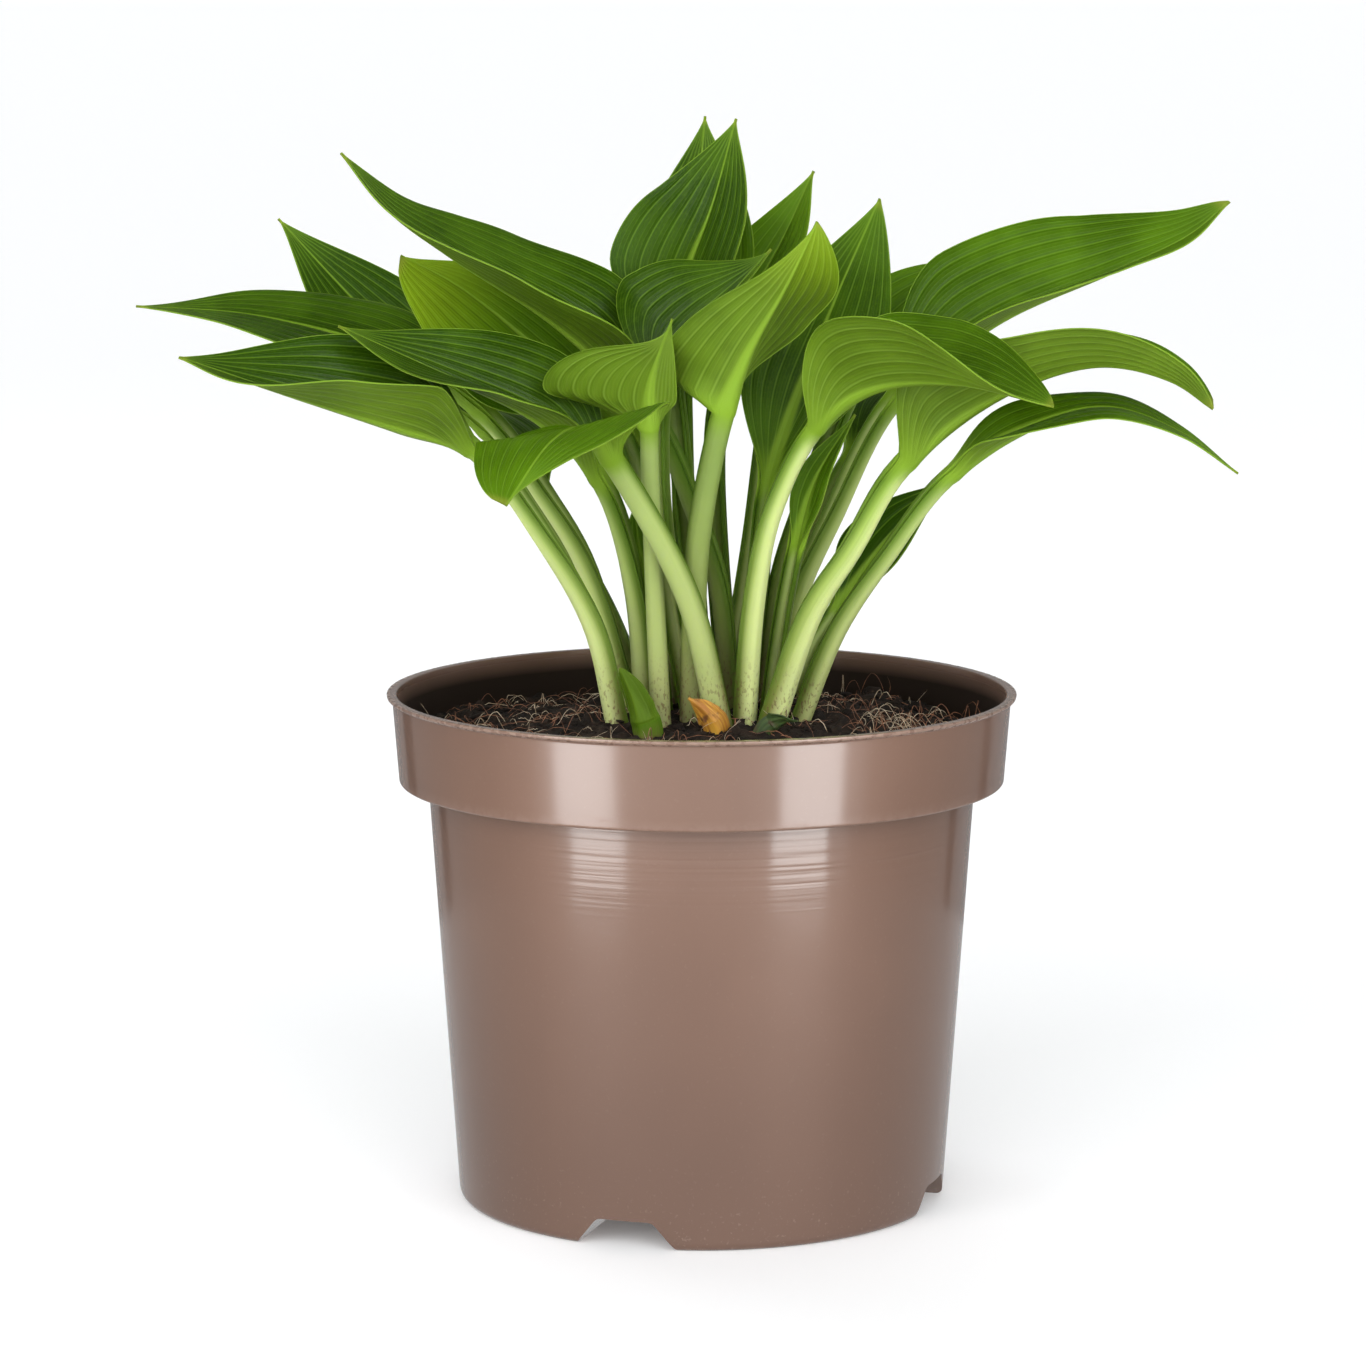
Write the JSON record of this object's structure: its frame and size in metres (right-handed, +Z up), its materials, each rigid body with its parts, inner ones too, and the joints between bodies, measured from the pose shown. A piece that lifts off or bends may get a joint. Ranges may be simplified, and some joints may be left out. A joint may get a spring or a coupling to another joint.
{
  "type": "potted hosta plant",
  "caption": "Leafy hosta with long pointed leaves on channelled stalks, growing in peat in a tapered plastic nursery pot.",
  "frame": {"origin": "on the pot's axis, in the plane that the pot stands on", "axes": "+Z up along the pot's axis, -Y towards the front, where the folded leaf hangs over, +X to the right"},
  "size_m": [0.3316, 0.2452, 0.3262],
  "materials": {
    "pot_plastic": "satin",
    "peat": "matte",
    "leaf": "satin",
    "young_leaf": "satin",
    "dry_sheath": "matte"
  },
  "bodies": {
    "root": {"pot": "pot_plastic", "soil": "peat", "leaf_centre_front": "leaf", "leaf_front_curled": "leaf", "leaf_front_folded": "leaf", "leaf_left_back": "leaf", "leaf_left_high": "leaf", "leaf_left_long": "leaf", "leaf_left_low": "leaf", "leaf_left_mid": "leaf", "leaf_left_pale": "leaf", "leaf_rear_centre": "leaf", "leaf_rear_left": "leaf", "leaf_rear_right": "leaf", "leaf_rear_tall": "leaf", "leaf_right_arched": "leaf", "leaf_right_back": "leaf", "leaf_right_big": "leaf", "leaf_right_drooping": "leaf", "leaf_right_front": "leaf", "leaf_right_low": "leaf", "leaf_right_upright": "leaf", "leaf_top_back": "leaf", "leaf_top_centre": "leaf", "leaf_top_front": "leaf", "leaf_top_right": "leaf", "young_leaf_left": "young_leaf", "young_leaf_right": "young_leaf", "young_shoot": "young_leaf", "dry_sheath": "dry_sheath", "green_sheath": "leaf"}
  },
  "joints": []
}
